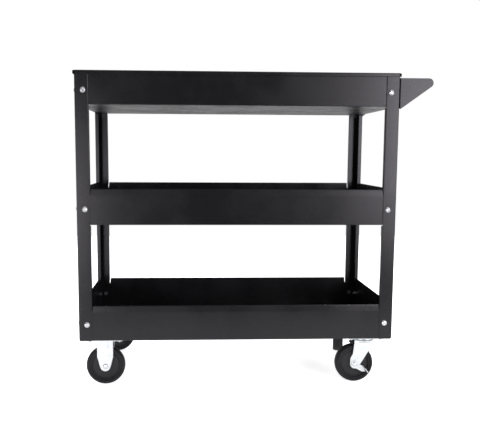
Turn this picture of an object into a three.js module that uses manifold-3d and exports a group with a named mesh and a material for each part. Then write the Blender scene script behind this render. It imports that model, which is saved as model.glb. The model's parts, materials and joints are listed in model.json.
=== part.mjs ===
// Rolling utility cart: three pressed-steel trays bolted between four lipped-angle posts,
// a push handle at one end, two rigid casters at the other end and two braked swivel casters
// under the handle.
//
// Frame: millimetres, +X along the cart towards the handle, -Y the front, +Z up. The floor is
// z = 0, and the origin is under the middle of the overall length and depth.

import * as THREE from "three";
import { mergeVertices } from "three/addons/utils/BufferGeometryUtils.js";
import Module from "manifold-3d";

const wasm = await Module();
wasm.setup();

// ---------------------------------------------------------------- driving dimensions

const FRAME_LENGTH = 800; // over the outer faces of the posts
const FRAME_DEPTH = 420;
const CLEARANCE = 0.3; // between pieces that touch

const TRAY_SHEET = 1.2;
const TRAY_CORNER = 2; // flat down each corner of a tray
const TRAY_HEIGHT = 82;
const TRAY_PITCH = 295;
const CASTER_HEIGHT = 125; // floor to the underside of the lowest tray
const HEM_HEIGHT = 8.5;
const HEM_SLANT = 2; // by which the top of a hem is shorter at each end
const LIP_OVERHANG = 4; // of the top tray's lip past the posts
const LIP_CORNER = 8.5; // flat across each corner of the lip

const POST_SHEET = 1.5;
const POST_FRONT_FLANGE = 34;
const POST_SIDE_FLANGE = 37;
const POST_LIP = 10;
const POST_BEND = 2.6; // outer radius of each bend
const POST_LIP_CLEAR = 2; // from a tray to the start of the lips
const POST_TOP_GAP = 2; // under the top tray's ledge
const POST_FOOT_CUT = [2.6, 15, 5]; // along the front, back along the side, and up

const BOLT_FROM_CORNER = 20.5;
const BOLT_ABOVE_TRAY = [42, 39, 35]; // lowest tray first
const BOLT_RADIUS = 3;
const BOLT_SIDES = 8;
const HOLE_RADIUS = BOLT_RADIUS + 0.6; // as a hole with as many sides, clears the shank
const HOLE_REACH = 10; // each way from the post's face, through every sheet there
const BOLT_HEAD_RADIUS = 7.2;
const BOLT_HEAD_HEIGHT = 3.4;
const BOLT_HEAD_RIM = 0.8; // straight edge below the dome
const BOLT_DOME = [0.72, 0.8]; // radius and height of the dome's shoulder, as parts of the head's
const NUT_ACROSS_FLATS = 10;
const NUT_HEIGHT = 5;
const BOLT_TIP = 2.5; // of the shank past its nut

const HANDLE_REACH = 85; // from the post's side face to the tip of a bracket
const HANDLE_SHEET = 2;
const HANDLE_TIP_RADIUS = 11.5;
const HANDLE_HEIGHT = 76;
const HANDLE_BELOW_RIM = 11.4;
const HANDLE_SET_BACK = 3; // behind the post's front face
const HANDLE_FLANGE = 32;
const HANDLE_FOOT_STEP = [3, 2]; // out from the post and down, at the foot of a bracket
const HANDLE_TUBE_RADIUS = 11;

const CASTER_FROM_MIDDLE = 339; // plate centre along X
const CASTER_FROM_FACE = 50; // plate centre behind the front or rear face
const CASTER_TRAIL = 25.5;
const SWIVEL_ANGLES = { front: 0, rear: 78 }; // degrees, at rest
const PLATE_SIZE = [95, 65];
const PLATE_SHEET = 2.5;

const WHEEL_RADIUS = 50;
const TYRE_HALF_WIDTH = 15;
const TYRE_SHOULDER = 4.5; // depth of the tread's rounded edge
const TYRE_CROWN = [1.2, 0.68, 0.25]; // drop, where it starts and where it ends, as parts of the width
const HUB_RADIUS = 41;
const HUB_RIM = [3, 13]; // thickness and half width
const HUB_GROOVE_HALF_WIDTH = 9;
const HUB_DISC = [16, 12.5]; // radius and half width where the disc meets the boss
const HUB_BOSS_RADIUS = 12;
const HUB_HALF_LENGTH = 16.7;
const AXLE_RADIUS = 4;
const RIVET_FOOT_RADIUS = 6.4;
const RIVET_TOP_RADIUS = 4.5;
const RIVET_HEIGHT = 2.6;
const RIVET_CROWN = 0.4; // of the height above the edge of the flat top
const FORK_INSIDE = 17; // wheel centre to the inner face of a leg
const FORK_SHEET = 2.5;
const LEG_HALF_WIDTH = 20.4;
const LEG_STRAIGHT_TO = 25; // above the axle
const LEG_END_RADIUS = 13.3;

const RACE_RADIUS = 29;
const RACE_HEIGHT = 7;
const CROWN_RADIUS = 26;
const CROWN_HEIGHT = 7;
const KINGPIN_RADIUS = 5;
const KINGPIN_HEAD = [8, 1.2, 0.4]; // radius, height and depth below the plate's face
const KINGPIN_FOOT = [9, 4]; // radius and height under the crown
const BRAKE_LEVER_SHEET = 2;
const BRAKE_TAB_DEPTH = 22;
const BRAKE_TAB_WIDTH = 18;
const BRAKE_TAB_SHEET = 1.8;
const BRAKE_TAB_ANGLE = 54; // degrees from level
const BRAKE_EYE_RADIUS = 9.4;
const BRAKE_SHOE_GAP = 1.8;
const BRAKE_SHOE_HALF_WIDTH = 12;

// ---------------------------------------------------------------- worked-out places

const HALF_LENGTH = FRAME_LENGTH / 2;
const HALF_DEPTH = FRAME_DEPTH / 2;
const TRAY_LEVELS = [0, 1, 2].map((i) => CASTER_HEIGHT + i * TRAY_PITCH);
const TRAY_NAMES = ["bottom", "middle", "top"];
const TOP_RIM = TRAY_LEVELS[2] + TRAY_HEIGHT;
const WALL_X = HALF_LENGTH - POST_SHEET - CLEARANCE; // outer faces of the tray walls
const WALL_Y = HALF_DEPTH - POST_SHEET - CLEARANCE;
const AXLE_Z = WHEEL_RADIUS;
const OVERRUN = 1; // by which a cutter runs past what it cuts
const PLATE_TOP = CASTER_HEIGHT - CLEARANCE;
const PLATE_UNDER = PLATE_TOP - PLATE_SHEET;
const CASTER_Y = HALF_DEPTH - CASTER_FROM_FACE;

// ---------------------------------------------------------------- materials

const powderCoat = new THREE.MeshStandardMaterial({ color: 0x2b2b2e, roughness: 0.45, metalness: 0 });
const zinc = new THREE.MeshStandardMaterial({ color: 0xd7dcd9, roughness: 0.3, metalness: 1 });
const rubber = new THREE.MeshStandardMaterial({ color: 0x161617, roughness: 0.75, metalness: 0 });
const hubPlastic = new THREE.MeshStandardMaterial({ color: 0x242526, roughness: 0.5, metalness: 0 });

// ---------------------------------------------------------------- solid helpers

// A closed geometry as a solid that can be joined and cut.
function solid(geometry) {
  const bare = geometry.clone();
  bare.deleteAttribute("normal");
  bare.deleteAttribute("uv");
  const merged = mergeVertices(bare, 1e-4);
  return new wasm.Manifold(
    new wasm.Mesh({
      numProp: 3,
      vertProperties: new Float32Array(merged.attributes.position.array),
      triVerts: new Uint32Array(merged.index.array),
    }),
  );
}

// A solid back as a geometry that a mesh can hold.
function geometryOf(shape) {
  const { vertProperties, triVerts } = shape.getMesh();
  const geometry = new THREE.BufferGeometry();
  geometry.setAttribute("position", new THREE.BufferAttribute(vertProperties, 3));
  geometry.setIndex(new THREE.BufferAttribute(triVerts, 1));
  geometry.computeVertexNormals();
  return geometry;
}

// A box between two corners.
function block(low, high) {
  const size = high.map((value, i) => value - low[i]);
  const middle = high.map((value, i) => (value + low[i]) / 2);
  return solid(new THREE.BoxGeometry(...size).translate(...middle));
}

// A rod along an axis, from one place on that axis to another.
function rod(axis, from, to, radius, centre = [0, 0, 0], sides = 12) {
  const geometry = new THREE.CylinderGeometry(radius, radius, to - from, sides);
  geometry.translate(0, (from + to) / 2, 0);
  if (axis === "x") geometry.rotateZ(-Math.PI / 2);
  if (axis === "z") geometry.rotateX(Math.PI / 2);
  return solid(geometry.translate(...centre));
}

// A flat outline in X and Y, pushed up from one height to another.
function slabZ(outline, from, to) {
  const geometry = new THREE.ExtrudeGeometry(outline, {
    depth: to - from,
    bevelEnabled: false,
    curveSegments: 2,
  });
  return solid(geometry.translate(0, 0, from));
}

// A flat outline in X and Z, pushed from one Y to another.
function slabY(outline, from, to) {
  const geometry = new THREE.ExtrudeGeometry(outline, {
    depth: to - from,
    bevelEnabled: false,
    curveSegments: 6,
  });
  return solid(geometry.rotateX(Math.PI / 2).translate(0, to, 0));
}

// A round piece about the Y axis, from a closed list of [radius, y] points in either order.
function turned(profile, sides) {
  const points = profile.map(([radius, y]) => new THREE.Vector2(radius, y));
  if (THREE.ShapeUtils.area(points) < 0) points.reverse();
  points.push(points[0].clone());
  return solid(new THREE.LatheGeometry(points, sides));
}

function outlineOf(points) {
  return new THREE.Shape(points.map(([x, y]) => new THREE.Vector2(x, y)));
}

const joined = (...shapes) => shapes.reduce((sum, shape) => sum.add(shape));
const cutAll = (shape, cutters) => cutters.reduce((rest, cutter) => rest.subtract(cutter), shape);

function addPiece(group, name, shape, material) {
  const mesh = new THREE.Mesh(geometryOf(shape), material);
  mesh.name = name;
  group.add(mesh);
  return mesh;
}

const SIDES = [-1, 1];
const endName = (x) => (x < 0 ? "left" : "right");
const faceName = (y) => (y < 0 ? "front" : "rear");

// ---------------------------------------------------------------- bolts that hold a tray to a post

// Each bolt's line: its end and face of the cart, the flange it goes through and its place.
const TRAY_BOLTS = TRAY_LEVELS.flatMap((level, tray) =>
  SIDES.flatMap((x) =>
    SIDES.flatMap((y) =>
      ["face", "end"].map((flange) => ({
        name: `bolt_${TRAY_NAMES[tray]}_${endName(x)}_${faceName(y)}_${flange}`,
        tray,
        x,
        y,
        flange,
        height: level + BOLT_ABOVE_TRAY[tray],
      })),
    ),
  ),
);

// How far a bolt's head stands off its post for a handle bracket's flange under it.
function bracketUnder(bolt) {
  const holdsBracket = bolt.flange === "end" && bolt.x > 0 && bolt.tray === 2;
  return holdsBracket ? HANDLE_SHEET + CLEARANCE : 0;
}

// Turns a shape made along +Y, with its head at the low end, onto a bolt's line.
function ontoBolt(shape, bolt) {
  const lifted = shape.translate([0, -bracketUnder(bolt), 0]);
  if (bolt.flange === "face") {
    const turn = bolt.y < 0 ? 0 : 180;
    const x = bolt.x * (HALF_LENGTH - BOLT_FROM_CORNER);
    return lifted.rotate([0, 0, turn]).translate([x, bolt.y * HALF_DEPTH, bolt.height]);
  }
  const turn = bolt.x < 0 ? -90 : 90;
  const y = bolt.y * (HALF_DEPTH - BOLT_FROM_CORNER);
  return lifted.rotate([0, 0, turn]).translate([bolt.x * HALF_LENGTH, y, bolt.height]);
}

function boltHole(bolt) {
  return ontoBolt(rod("y", -HOLE_REACH, HOLE_REACH, HOLE_RADIUS, [0, 0, 0], BOLT_SIDES), bolt);
}

function cutBoltHoles(shape, bolts) {
  return cutAll(shape, bolts.map(boltHole));
}

// A domed bolt with its hexagon nut drawn up behind the tray wall.
function trayBolt(bolt) {
  const nutFrom = bracketUnder(bolt) + POST_SHEET + TRAY_SHEET + 2 * CLEARANCE;
  const tip = nutFrom + NUT_HEIGHT + BOLT_TIP;
  const head = -CLEARANCE;
  const [domeRadius, domeHeight] = BOLT_DOME;
  const shank = turned(
    [
      [0, head - BOLT_HEAD_HEIGHT],
      [0, tip],
      [BOLT_RADIUS, tip],
      [BOLT_RADIUS, head],
      [BOLT_HEAD_RADIUS, head],
      [BOLT_HEAD_RADIUS, head - BOLT_HEAD_RIM],
      [BOLT_HEAD_RADIUS * domeRadius, head - BOLT_HEAD_HEIGHT * domeHeight],
    ],
    BOLT_SIDES,
  );
  const corner = NUT_ACROSS_FLATS / Math.sqrt(3);
  const nut = rod("y", nutFrom, nutFrom + NUT_HEIGHT, corner, [0, 0, 0], 6);
  return ontoBolt(shank.add(nut), bolt);
}

// ---------------------------------------------------------------- trays

// The folded rim strip of one long or short wall of the middle and lowest trays.
function hemStrip(alongX, side, top) {
  const postWidth = alongX ? POST_FRONT_FLANGE : POST_SIDE_FLANGE;
  const half = (alongX ? HALF_LENGTH : HALF_DEPTH) - postWidth;
  const wall = alongX ? WALL_Y : WALL_X;
  const outline = outlineOf([
    [-half, top - HEM_HEIGHT],
    [half, top - HEM_HEIGHT],
    [half - HEM_SLANT, top],
    [-half + HEM_SLANT, top],
  ]);
  const strip = slabY(outline, -TRAY_SHEET, TRAY_SHEET);
  const place = side * wall;
  if (alongX) return strip.translate([0, place, 0]);
  return strip.rotate([0, 0, 90]).translate([place, 0, 0]);
}

// Square cutters that take the four upright corners off a rectangle, each by a flat of one width.
function cornerCutters(halfX, halfY, flat, from, to) {
  const cutter = block([-flat / 2, -flat / 2, from], [flat / 2, flat / 2, to]).rotate([0, 0, 45]);
  return SIDES.flatMap((x) => SIDES.map((y) => cutter.translate([x * halfX, y * halfY, 0])));
}

// The space inside a tray's walls, running past their top.
function trayInside(level, top) {
  return block(
    [-WALL_X + TRAY_SHEET, -WALL_Y + TRAY_SHEET, level + TRAY_SHEET],
    [WALL_X - TRAY_SHEET, WALL_Y - TRAY_SHEET, top + OVERRUN],
  );
}

// The open box of sheet that every tray shares; its corners stop short of the hems.
function trayPan(level, cornerTop) {
  const square = block([-WALL_X, -WALL_Y, level], [WALL_X, WALL_Y, cornerTop]);
  const corners = cornerCutters(WALL_X, WALL_Y, TRAY_CORNER, level - OVERRUN, cornerTop + OVERRUN);
  return cutAll(square, corners).subtract(trayInside(level, cornerTop));
}

function hemmedTray(level) {
  const top = level + TRAY_HEIGHT;
  const strips = SIDES.flatMap((side) => [hemStrip(true, side, top), hemStrip(false, side, top)]);
  return joined(trayPan(level, top - HEM_HEIGHT), ...strips).subtract(trayInside(level, top));
}

// The top tray's rim goes out over the posts and turns down in front of them.
function lippedTray(level) {
  const lipX = HALF_LENGTH + LIP_OVERHANG;
  const lipY = HALF_DEPTH + LIP_OVERHANG;
  const ledge = block([-lipX, -lipY, TOP_RIM - TRAY_SHEET], [lipX, lipY, TOP_RIM]);
  const skirt = block([-lipX, -lipY, TOP_RIM - HEM_HEIGHT], [lipX, lipY, TOP_RIM]).subtract(
    block(
      [-lipX + TRAY_SHEET, -lipY + TRAY_SHEET, level],
      [lipX - TRAY_SHEET, lipY - TRAY_SHEET, TOP_RIM + OVERRUN],
    ),
  );
  const tray = joined(trayPan(level, TOP_RIM), ledge, skirt).subtract(trayInside(level, TOP_RIM));
  const skirtFoot = TOP_RIM - HEM_HEIGHT - OVERRUN;
  return cutAll(tray, cornerCutters(lipX, lipY, LIP_CORNER, skirtFoot, TOP_RIM + OVERRUN));
}

function addTrays(group) {
  TRAY_LEVELS.forEach((level, tray) => {
    const shape = tray === 2 ? lippedTray(level) : hemmedTray(level);
    const bolts = TRAY_BOLTS.filter((bolt) => bolt.tray === tray);
    addPiece(group, `${TRAY_NAMES[tray]}_tray`, cutBoltHoles(shape, bolts), powderCoat);
  });
}

// ---------------------------------------------------------------- posts

// Section of the left front post, with the outer corner at 0, 0: two flanges and two lips.
function postSection() {
  const r = POST_BEND;
  const t = POST_SHEET;
  const w = POST_FRONT_FLANGE;
  const d = POST_SIDE_FLANGE;
  const section = new THREE.Shape();
  section.moveTo(r, 0);
  section.lineTo(w - r, 0);
  section.absarc(w - r, r, r, -Math.PI / 2, 0, false);
  section.lineTo(w, POST_LIP);
  section.lineTo(w - t, POST_LIP);
  section.absarc(w - r, r, r - t, 0, -Math.PI / 2, true);
  section.lineTo(r, t);
  section.absarc(r, r, r - t, -Math.PI / 2, -Math.PI, true);
  section.lineTo(t, d - r);
  section.absarc(r, d - r, r - t, Math.PI, Math.PI / 2, true);
  section.lineTo(POST_LIP, d - t);
  section.lineTo(POST_LIP, d);
  section.lineTo(r, d);
  section.absarc(r, d - r, r, Math.PI / 2, Math.PI, false);
  section.lineTo(0, r);
  section.absarc(r, r, r, Math.PI, Math.PI * 1.5, false);
  return section;
}

// Cutters that take both lips off between two heights.
function lipCutters(low, high) {
  const front = POST_FRONT_FLANGE;
  const side = POST_SIDE_FLANGE;
  return [
    block([front - POST_BEND, -OVERRUN, low], [front + OVERRUN, POST_LIP + OVERRUN, high]),
    block([-OVERRUN, side - POST_BEND, low], [POST_LIP + OVERRUN, side + OVERRUN, high]),
  ];
}

// Takes the outside corner off a post's foot, by a plane through three points on its edges.
function withoutFootCorner(post) {
  const [along, back, up] = POST_FOOT_CUT;
  const normal = new THREE.Vector3(1 / along, 1 / back, 1 / up);
  const offset = (1 + CASTER_HEIGHT / up) / normal.length();
  return post.trimByPlane(normal.normalize().toArray(), offset);
}

// The left front post: the lips are cut away wherever a tray is bolted on.
function postShape() {
  const top = TOP_RIM - TRAY_SHEET - POST_TOP_GAP;
  const full = slabZ(postSection(), CASTER_HEIGHT, top);
  const cuts = TRAY_LEVELS.flatMap((level, tray) => {
    const low = tray === 0 ? level - OVERRUN : level - POST_LIP_CLEAR;
    const high = tray === 2 ? top + OVERRUN : level + TRAY_HEIGHT + POST_LIP_CLEAR;
    return lipCutters(low, high);
  });
  return withoutFootCorner(cutAll(full, cuts));
}

function addPosts(group) {
  const leftFront = postShape().translate([-HALF_LENGTH, -HALF_DEPTH, 0]);
  SIDES.forEach((x) =>
    SIDES.forEach((y) => {
      const mirroredX = x < 0 ? leftFront : leftFront.mirror([1, 0, 0]);
      const shape = y < 0 ? mirroredX : mirroredX.mirror([0, 1, 0]);
      const bolts = TRAY_BOLTS.filter((bolt) => bolt.x === x && bolt.y === y);
      addPiece(group, `post_${endName(x)}_${faceName(y)}`, cutBoltHoles(shape, bolts), powderCoat);
    }),
  );
}

function addTrayBolts(group) {
  TRAY_BOLTS.forEach((bolt) => addPiece(group, bolt.name, trayBolt(bolt), zinc));
}

// ---------------------------------------------------------------- push handle

const HANDLE_X = HALF_LENGTH + HANDLE_REACH - HANDLE_TIP_RADIUS; // tube axis
const HANDLE_TOP = TOP_RIM - HANDLE_BELOW_RIM;
const HANDLE_Z = HANDLE_TOP - HANDLE_TIP_RADIUS;

// The side of a bracket: level on top, round at the tip, slanting back down to the post.
function bracketOutline() {
  const root = HALF_LENGTH + CLEARANCE;
  const [footOut, footDown] = HANDLE_FOOT_STEP;
  const foot = [root + footOut, HANDLE_TOP - HANDLE_HEIGHT];
  const reach = Math.hypot(HANDLE_X - foot[0], HANDLE_Z - foot[1]);
  const toFoot = Math.atan2(foot[1] - HANDLE_Z, foot[0] - HANDLE_X);
  const tangent = toFoot + Math.acos(HANDLE_TIP_RADIUS / reach); // where the slant meets the tip
  const outline = new THREE.Shape();
  outline.moveTo(root, HANDLE_TOP);
  outline.lineTo(root, foot[1] + footDown);
  outline.lineTo(foot[0], foot[1]);
  outline.absarc(HANDLE_X, HANDLE_Z, HANDLE_TIP_RADIUS, tangent, Math.PI / 2, false);
  return outline;
}

// The front bracket: its side and the flange that lies on the post.
function bracketShape() {
  const face = -HALF_DEPTH + HANDLE_SET_BACK;
  const root = HALF_LENGTH + CLEARANCE;
  const side = slabY(bracketOutline(), face, face + HANDLE_SHEET);
  const flange = block(
    [root, face, HANDLE_TOP - HANDLE_HEIGHT + HANDLE_FOOT_STEP[1]],
    [root + HANDLE_SHEET, face + HANDLE_FLANGE, HANDLE_TOP],
  );
  return side.add(flange);
}

function addHandle(group) {
  SIDES.forEach((y) => {
    const shape = y < 0 ? bracketShape() : bracketShape().mirror([0, 1, 0]);
    const bolts = TRAY_BOLTS.filter((bolt) => bolt.tray === 2 && bolt.x > 0 && bolt.y === y);
    addPiece(group, `handle_bracket_${faceName(y)}`, cutBoltHoles(shape, bolts), powderCoat);
  });
  const tubeEnd = HALF_DEPTH - HANDLE_SET_BACK - HANDLE_SHEET - CLEARANCE;
  const tube = rod("y", -tubeEnd, tubeEnd, HANDLE_TUBE_RADIUS, [HANDLE_X, 0, HANDLE_Z], 24);
  addPiece(group, "handle_tube", tube, powderCoat);
}

// ---------------------------------------------------------------- wheels, in a caster's own frame

const WHEEL_SIDES = 24; // on tyre and hub alike, so that their flats line up
const AXLE_SIDES = 10; // on the shaft and in the legs alike

// The mirror image of half a section, in the order that carries on from it.
const otherHalf = (half) => half.map(([radius, y]) => [radius, -y]).reverse();

// Solid rubber tyre with a crowned tread.
function tyreShape() {
  const w = TYRE_HALF_WIDTH;
  const [drop, dropFrom, flatTo] = TYRE_CROWN;
  const half = [
    [WHEEL_RADIUS, w * flatTo],
    [WHEEL_RADIUS - drop, w * dropFrom],
    [WHEEL_RADIUS - TYRE_SHOULDER, w],
    [HUB_RADIUS, w],
  ];
  return turned([...otherHalf(half), ...half], WHEEL_SIDES);
}

// Moulded wheel centre: rim, groove, disc and boss.
function hubShape() {
  const rim = HUB_RADIUS - CLEARANCE;
  const [rimThickness, rimHalfWidth] = HUB_RIM;
  const half = [
    [rim, rimHalfWidth],
    [rim - rimThickness, HUB_GROOVE_HALF_WIDTH],
    HUB_DISC,
    [HUB_BOSS_RADIUS, HUB_HALF_LENGTH],
    [AXLE_RADIUS + CLEARANCE, HUB_HALF_LENGTH],
  ];
  return turned([...otherHalf(half), ...half], WHEEL_SIDES);
}

// Riveted axle: shaft and both heads, with room under the low head for a lever where there is one.
function axleShape(lowExtra) {
  const seat = FORK_INSIDE + FORK_SHEET + CLEARANCE;
  const low = -(seat + lowExtra);
  const edge = RIVET_HEIGHT - RIVET_CROWN;
  return turned(
    [
      [0, low - RIVET_HEIGHT],
      [0, seat + RIVET_HEIGHT],
      [RIVET_TOP_RADIUS, seat + edge],
      [RIVET_FOOT_RADIUS, seat],
      [AXLE_RADIUS, seat],
      [AXLE_RADIUS, low],
      [RIVET_FOOT_RADIUS, low],
      [RIVET_TOP_RADIUS, low - edge],
    ],
    AXLE_SIDES,
  );
}

function addWheel(group, caster, axleX, lowExtra) {
  const place = [axleX, 0, AXLE_Z];
  addPiece(group, `tyre_${caster}`, tyreShape().translate(place), rubber);
  addPiece(group, `hub_${caster}`, hubShape().translate(place), hubPlastic);
  addPiece(group, `axle_${caster}`, axleShape(lowExtra).translate(place), zinc);
}

// Copies a leg that stands on the low-Y side to the high-Y side too.
const bothLegs = (leg) => leg.add(leg.mirror([0, 1, 0]));
const LEG_FROM = -(FORK_INSIDE + FORK_SHEET);
const LEG_INTO_PLATE = 0.5;
const AXLE_HOLE_RADIUS = AXLE_RADIUS + CLEARANCE;
const axleHole = (x) => rod("y", -CASTER_Y, CASTER_Y, AXLE_HOLE_RADIUS, [x, 0, AXLE_Z], AXLE_SIDES);

function platePressing() {
  const [length, depth] = PLATE_SIZE;
  return block([-length / 2, -depth / 2, PLATE_UNDER], [length / 2, depth / 2, PLATE_TOP]);
}

// ---------------------------------------------------------------- rigid casters

// One leg: straight, then tapering to the round end about the axle.
function rigidLegOutline() {
  const outline = new THREE.Shape();
  const shoulder = AXLE_Z + LEG_STRAIGHT_TO;
  const tangent = Math.PI * 0.06; // of the taper, off level
  outline.moveTo(-LEG_HALF_WIDTH, PLATE_UNDER + LEG_INTO_PLATE);
  outline.lineTo(-LEG_HALF_WIDTH, shoulder);
  outline.absarc(0, AXLE_Z, LEG_END_RADIUS, Math.PI + tangent, 2 * Math.PI - tangent, false);
  outline.lineTo(LEG_HALF_WIDTH, shoulder);
  outline.lineTo(LEG_HALF_WIDTH, PLATE_UNDER + LEG_INTO_PLATE);
  return outline;
}

function addRigidCaster(cart, y) {
  const caster = `left_${faceName(y)}`;
  const group = new THREE.Group();
  group.position.set(-CASTER_FROM_MIDDLE, y * CASTER_Y, 0);
  const leg = slabY(rigidLegOutline(), LEG_FROM, LEG_FROM + FORK_SHEET);
  const fork = joined(platePressing(), bothLegs(leg)).subtract(axleHole(0));
  addPiece(group, `rigid_fork_${caster}`, fork, zinc);
  addWheel(group, caster, 0, 0);
  cart.add(group);
}

// ---------------------------------------------------------------- braked swivel casters

const RACE_UNDER = PLATE_UNDER - CLEARANCE - RACE_HEIGHT;
const CROWN_TOP = RACE_UNDER - CLEARANCE;
const CROWN_UNDER = CROWN_TOP - CROWN_HEIGHT;
const KINGPIN_UNDER = CROWN_UNDER - CLEARANCE;
const KINGPIN_SIDES = 12;
const SWIVEL_LEG_BACK = -28; // the leg's back and front edges where it meets the crown
const SWIVEL_LEG_FRONT = 21;
const SWIVEL_LEG_TOP = CROWN_TOP - 1;
const SWIVEL_BRIDGE_SHEET = 2.5;
const upright = (radius, from, to, sides = 18) => rod("z", from, to, radius, [0, 0, 0], sides);
const pinHole = () => upright(KINGPIN_RADIUS + CLEARANCE, 0, CASTER_HEIGHT, KINGPIN_SIDES);

// One leg, raked back from the crown to the trailing axle. The lines that the arc joins touch its
// circle, and the places between are the shoulder behind and the knee in front.
function swivelLegOutline() {
  const outline = new THREE.Shape();
  const axle = -CASTER_TRAIL;
  const endRadius = 12.5;
  const shoulder = [SWIVEL_LEG_BACK - 3.5, AXLE_Z + 27];
  const hip = [axle - 12.2, AXLE_Z + 15];
  const heel = [axle + 14.6, AXLE_Z];
  const knee = [11, AXLE_Z + 37];
  const root = CROWN_UNDER + LEG_INTO_PLATE;
  outline.moveTo(SWIVEL_LEG_BACK, root);
  outline.lineTo(...shoulder);
  outline.lineTo(...hip);
  outline.absarc(axle, AXLE_Z, endRadius, Math.PI, Math.PI * 1.9, false);
  outline.lineTo(...heel);
  outline.lineTo(...knee);
  outline.lineTo(SWIVEL_LEG_FRONT, root);
  outline.lineTo(SWIVEL_LEG_FRONT, SWIVEL_LEG_TOP);
  outline.lineTo(SWIVEL_LEG_BACK, SWIVEL_LEG_TOP);
  return outline;
}

function swivelFork() {
  const leg = slabY(swivelLegOutline(), LEG_FROM, LEG_FROM + FORK_SHEET);
  const crown = upright(CROWN_RADIUS, CROWN_UNDER, CROWN_TOP);
  const bridge = block(
    [SWIVEL_LEG_BACK, LEG_FROM, SWIVEL_LEG_TOP - SWIVEL_BRIDGE_SHEET],
    [SWIVEL_LEG_FRONT, -LEG_FROM, SWIVEL_LEG_TOP],
  );
  return joined(bothLegs(leg), crown, bridge).subtract(pinHole()).subtract(axleHole(-CASTER_TRAIL));
}

// The pin that the fork turns on: sunk head in the plate, riveted foot under the crown.
function kingpinShape() {
  const [headRadius, headHeight, headDepth] = KINGPIN_HEAD;
  const [footRadius, footHeight] = KINGPIN_FOOT;
  const top = PLATE_TOP - headDepth;
  return joined(
    upright(KINGPIN_RADIUS, KINGPIN_UNDER - OVERRUN, top, KINGPIN_SIDES),
    upright(headRadius, top - headHeight, top, KINGPIN_SIDES),
    upright(footRadius, KINGPIN_UNDER - footHeight, KINGPIN_UNDER, KINGPIN_SIDES),
  );
}

// Side lever on the axle: an eye, an arm down to a beak, and a foot tab that stands out from the
// wheel there.
function brakeLever() {
  const back = LEG_FROM - CLEARANCE;
  const front = back - BRAKE_LEVER_SHEET;
  const axle = -CASTER_TRAIL;
  const beak = [axle + 18.6, AXLE_Z - 20];
  const toe = [axle + 27, AXLE_Z - 20];
  const brow = [axle + 23.5, AXLE_Z - 6];
  const tabPlace = [axle + 27.5, AXLE_Z - 13.5];
  const outline = new THREE.Shape();
  outline.moveTo(axle - 8, AXLE_Z + 5);
  outline.absarc(axle, AXLE_Z, BRAKE_EYE_RADIUS, Math.PI * 0.85, Math.PI * 1.25, false);
  outline.lineTo(...beak);
  outline.lineTo(...toe);
  outline.lineTo(...brow);
  outline.absarc(axle, AXLE_Z, BRAKE_EYE_RADIUS, 0, Math.PI * 0.7, false);
  const arm = slabY(outline, front, back);
  const halfWidth = BRAKE_TAB_WIDTH / 2;
  const halfSheet = BRAKE_TAB_SHEET / 2;
  const tab = block([-halfWidth, front - BRAKE_TAB_DEPTH, -halfSheet], [halfWidth, back, halfSheet])
    .rotate([0, BRAKE_TAB_ANGLE, 0])
    .translate([tabPlace[0], 0, tabPlace[1]]);
  return arm.add(tab).subtract(axleHole(axle));
}

// Rubber-faced block over the tread, pulled down by the lever. Its front follows the crown.
function brakeShoe() {
  const back = -36;
  const front = -18;
  const slope = 7; // its top slants down this far before the back
  const under = WHEEL_RADIUS * 2 + BRAKE_SHOE_GAP;
  const top = CROWN_TOP - 4;
  const outline = outlineOf([
    [back, under],
    [front, under - 0.2],
    [front, top],
    [back + slope, top],
    [back, under + 4],
  ]);
  const crownRoom = upright(CROWN_RADIUS + 1, CROWN_UNDER - 5, CROWN_TOP);
  return slabY(outline, -BRAKE_SHOE_HALF_WIDTH, BRAKE_SHOE_HALF_WIDTH).subtract(crownRoom);
}

function addSwivelCaster(cart, y) {
  const caster = `right_${faceName(y)}`;
  const group = new THREE.Group();
  group.position.set(CASTER_FROM_MIDDLE, y * CASTER_Y, 0);
  const [headRadius, headHeight, headDepth] = KINGPIN_HEAD;
  const sinkFrom = PLATE_TOP - headDepth - headHeight - CLEARANCE;
  const headSink = upright(headRadius + CLEARANCE, sinkFrom, CASTER_HEIGHT, KINGPIN_SIDES);
  const plate = platePressing().subtract(pinHole()).subtract(headSink);
  const race = upright(RACE_RADIUS, RACE_UNDER, PLATE_UNDER - CLEARANCE).subtract(pinHole());
  addPiece(group, `swivel_plate_${caster}`, plate, zinc);
  addPiece(group, `swivel_race_${caster}`, race, zinc);
  addPiece(group, `kingpin_${caster}`, kingpinShape(), zinc);

  const turning = new THREE.Group();
  turning.rotation.z = THREE.MathUtils.degToRad(SWIVEL_ANGLES[faceName(y)]);
  addPiece(turning, `swivel_fork_${caster}`, swivelFork(), zinc);
  addPiece(turning, `brake_lever_${caster}`, brakeLever(), zinc);
  addPiece(turning, `brake_shoe_${caster}`, brakeShoe(), rubber);
  addWheel(turning, caster, -CASTER_TRAIL, BRAKE_LEVER_SHEET + CLEARANCE);
  group.add(turning);
  cart.add(group);
}

// ---------------------------------------------------------------- the cart

const cart = new THREE.Group();
addTrays(cart);
addPosts(cart);
addTrayBolts(cart);
addHandle(cart);
SIDES.forEach((y) => addRigidCaster(cart, y));
SIDES.forEach((y) => addSwivelCaster(cart, y));

// The lip of the top tray ends the cart on the left, and the handle ends it on the right.
cart.position.x = -(HANDLE_REACH - LIP_OVERHANG) / 2;

export default cart;
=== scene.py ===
# %% [markdown]
# # A rolling utility cart
# Three open trays of folded sheet steel are bolted between four angle posts, which stand on four
# casters. A measured model already gives every size, place and joint. This lesson gives each piece
# the fine shape and the finish that it has in the workshop. Lengths are in metres throughout, and
# a piece is made where it belongs, so nothing has to be moved afterwards.

# %% Load the measured model
import json
import math

import bmesh
import bpy
from mathutils import Matrix, Vector


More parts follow.
